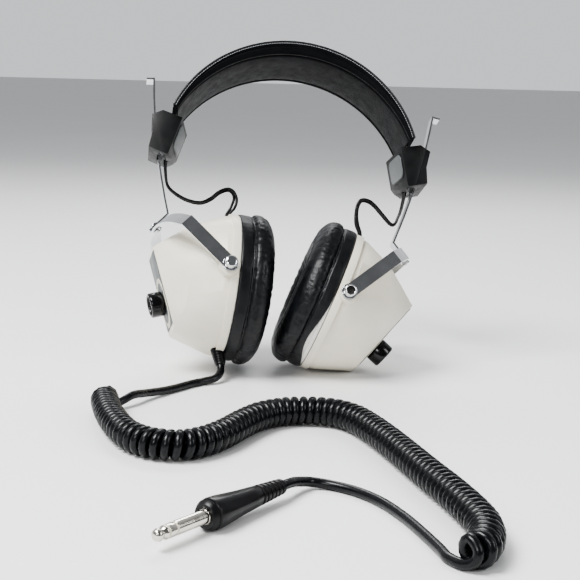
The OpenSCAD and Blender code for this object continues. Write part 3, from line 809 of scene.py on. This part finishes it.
def along(a, b):
    """A frame at a whose x axis points to b."""
    x = (Vector(b) - Vector(a)).normalized()
    y = Vector((0, 0, 1)).cross(x).normalized()
    z = x.cross(y)
    m = Matrix((x, y, z)).transposed().to_4x4()
    m.translation = Vector(a)
    return METRES @ m


TOP, END = (-55, -39, 19.6), (-53.5, -46.3, 10.4)
long = (Vector(END) - Vector(TOP)).length
profile = [(0, 0.01), (0, 4.6), (0.5, 5.0)]
for k in range(6):
    x0 = 1.0 + k * (long - 1.6) / 6
    w = (long - 1.6) / 6
    for f, d in ((0.05, 0), (0.5, 0), (0.6, -0.45), (0.9, -0.45)):
        x = x0 + f * w
        profile.append((x, 5.0 - 1.5 * x / long + d))
profile += [(long - 0.3, 3.3), (long, 2.9), (long, 0.01)]
v, f = revolve(profile, 48)
relief = make("cord_boot", v, f, along(TOP, END), "plug_plastic", "left_cup", "plug_plastic",
              stands_for=("cord_strain_relief",))
sharp_by_angle(relief, 38)

profile = [(0, 0.01), (0, 5.7), (0.4, 6.1), (1.7, 6.9), (2.2, 7.15), (2.7, 7.0), (3.0, 6.6), (3.4, 6.6), (3.8, 7.3),
           (4.6, 7.45), (8, 7.4), (12, 7.05), (16, 6.6), (20, 6.15), (25, 5.7), (30, 5.35), (35.5, 4.95), (36.2, 4.5)]
for k in range(6):
    x0 = 36.6 + 3.0 * k
    r = 4.85 - 0.2 * k
    profile += [(x0, r - 0.7), (x0 + 0.35, r - 0.05), (x0 + 0.6, r)]
    profile += [(x0 + 1.7, r), (x0 + 1.95, r - 0.05), (x0 + 2.3, r - 0.7)]
profile += [(55.0, 3.1), (55.4, 2.8), (55.4, 0.01)]


def flats(x, r, a, i):
    w = min(1, max(0, (-x - 8) / 4)) * min(1, max(0, (34 + x) / 6))
    b = (a % (math.pi / 3)) - math.pi / 6
    return x, r * (1 - w * (1 - 0.955 / max(math.cos(b), 0.955)))


v, f = revolve([(-x, r) for x, r in profile], 96, flats)
f = [tuple(reversed(q)) for q in f]
barrel = make("plug_handle", v, f, PLUG, "plug_plastic", "left_cup", "plug_plastic", stands_for=("plug_barrel",))
sharp_by_angle(barrel, 38)
metal_parts = [refine("plug_sleeve", 0.3, deg=40), refine("plug_ring", 0.12, deg=40), refine("plug_tip", 0.12, deg=40),
               refine("plug_insulators", 0.08, deg=40)]

# ---- jumper wires: two strands side by side, in three lengths -------------------------------------

JUMPER = {
    -1: [(83.4, 2, 6), (83.4, 2, -2), (81.5, 3, -13), (79, 4, -18.5), (73, 5, -22.5), (65, 6, -25.3), (56.5, 7, -25.5),
         (50, 8, -21.8), (44.5, 9, -16), (39, 9.5, -12.8), (35, 10, -14), (32.7, 10.5, -18.5), (33.7, 11, -24.5),
         (36.7, 11.8, -30), (37.2, 11.6, -36)],
    1: [(83.4, 2, 6), (83.4, 2, -2), (82.1, 3, -13), (80.3, 3.5, -19.5), (78.6, 4, -23.7), (75.5, 4.4, -23.7),
        (69, 4.8, -17.3), (63, 5, -11.5), (58.2, 5, -9.1), (54, 5, -9.6), (52, 5.2, -13.6), (51.6, 5.4, -20),
        (52.6, 5.5, -27), (55, 5.5, -33), (54.6, 5.6, -39)],
}
CUTS = {-1: [(59.5, 6.6, -25.6), (39, 9.5, -12.8)], 1: [(61.5, 5, -10.6), (52, 5.2, -13.6)]}
for s, side in SIDE.items():
    line = resample(smooth_line(JUMPER[s], 12), 181)
    print(side, "jumper", round(length_of(line), 1))
    strands = []
    for sgn in (-1, 1):
        strand = []
        for i, c in enumerate(line):
            t = (line[min(i + 1, 180)] - line[max(i - 1, 0)]).normalized()
            across = Vector((0, 1, 0)).cross(t).normalized()
            f = i / 180
            part = 0.9 + 0.9 * math.exp(-((f - 0.86) / 0.05) ** 2) * (1 if s < 0 else 0.5)
            twist = 1.2 + 1.4 * f
            strand.append(c + (across * math.cos(twist) + t.cross(across) * math.sin(twist)) * (part * sgn))
        strands.append(strand)
    # the first length lies under the block, the others run along the yoke and the cup
    cuts = [0] + [min(range(181), key=lambda i: (line[i] - Vector(p)).length) for p in CUTS[s]] + [180]
    edge = 79 if s < 0 else 80
    for k in range(3):
        v, f = join([tube(strand[cuts[k]:cuts[k + 1] + 1], 0.96, 10, Vector((0, 1, 0))) for strand in strands])
        o = make(f"{side}_jumper_{k + 1}", v, f, side_frame(s), "wire_black", None, "wire_black",
                 stands_for=(side + "_jumper_wire",) if k == 1 else ())
        a, b = line[cuts[k]], line[cuts[k + 1]]
        if k == 0:
            a, b = Vector((edge, 4, -20)), Vector((edge - 17, 4, -20))
        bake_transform(o)

# ---- floor, light and world ---------------------------------------------------------------------

bpy.ops.mesh.primitive_plane_add(size=40, location=(0, 0, 0))
floor = bpy.context.object
floor.name = "floor"
m = Mat("floor", (0.86, 0.86, 0.86), 0.6)
m.tint(m.noise(2.5), 0.985, 1.01).bump(m.noise(300, 3), 0.05, 0.0004)
floor.data.materials.append(m.m)


def area(name, loc, aim, size, power, colour=(1, 1, 1)):
    d = bpy.data.lights.new(name, "AREA")
    d.shape = "RECTANGLE"
    d.size, d.size_y = size
    d.energy = power
    d.color = colour
    o = bpy.data.objects.new(name, d)
    SCENE.collection.objects.link(o)
    z = (Vector(loc) - Vector(aim)).normalized()
    x = Vector((0, 0, 1)).cross(z).normalized()
    o.matrix_world = Matrix.Translation(loc) @ Matrix((x, z.cross(x), z)).transposed().to_4x4()
    o.visible_camera = False


area("key", (-0.75, -0.45, 1.25), (0, -0.1, 0.05), (0.8, 0.6), 34)
area("fill", (1.1, -0.9, 0.8), (0, -0.1, 0.08), (0.5, 0.8), 7)
area("front", (-0.75, -1.5, 0.75), (0, -0.05, 0.08), (0.7, 0.35), 9)
area("rim", (0.15, 1.0, 1.1), (0, -0.1, 0.12), (0.9, 0.4), 10)
SCENE.view_settings.look = "AgX - Medium High Contrast"
world = bpy.data.worlds.new("world")
SCENE.world = world
world.use_nodes = True
wt = world.node_tree
sky = wt.nodes["Background"]
sky.inputs["Color"].default_value = (0.93, 0.95, 0.97, 1)
split = wt.nodes.new("ShaderNodeSeparateXYZ")
wt.links.new(wt.nodes.new("ShaderNodeTexCoord").outputs["Generated"], split.inputs["Vector"])
fade = wt.nodes.new("ShaderNodeMapRange")
fade.interpolation_type = "SMOOTHSTEP"
for key, value in (("From Min", -0.35), ("From Max", 0.75), ("To Min", 0.16), ("To Max", 0.72)):
    fade.inputs[key].default_value = value
wt.links.new(split.outputs["Y"], fade.inputs["Value"])
wt.links.new(fade.outputs["Result"], sky.inputs["Strength"])
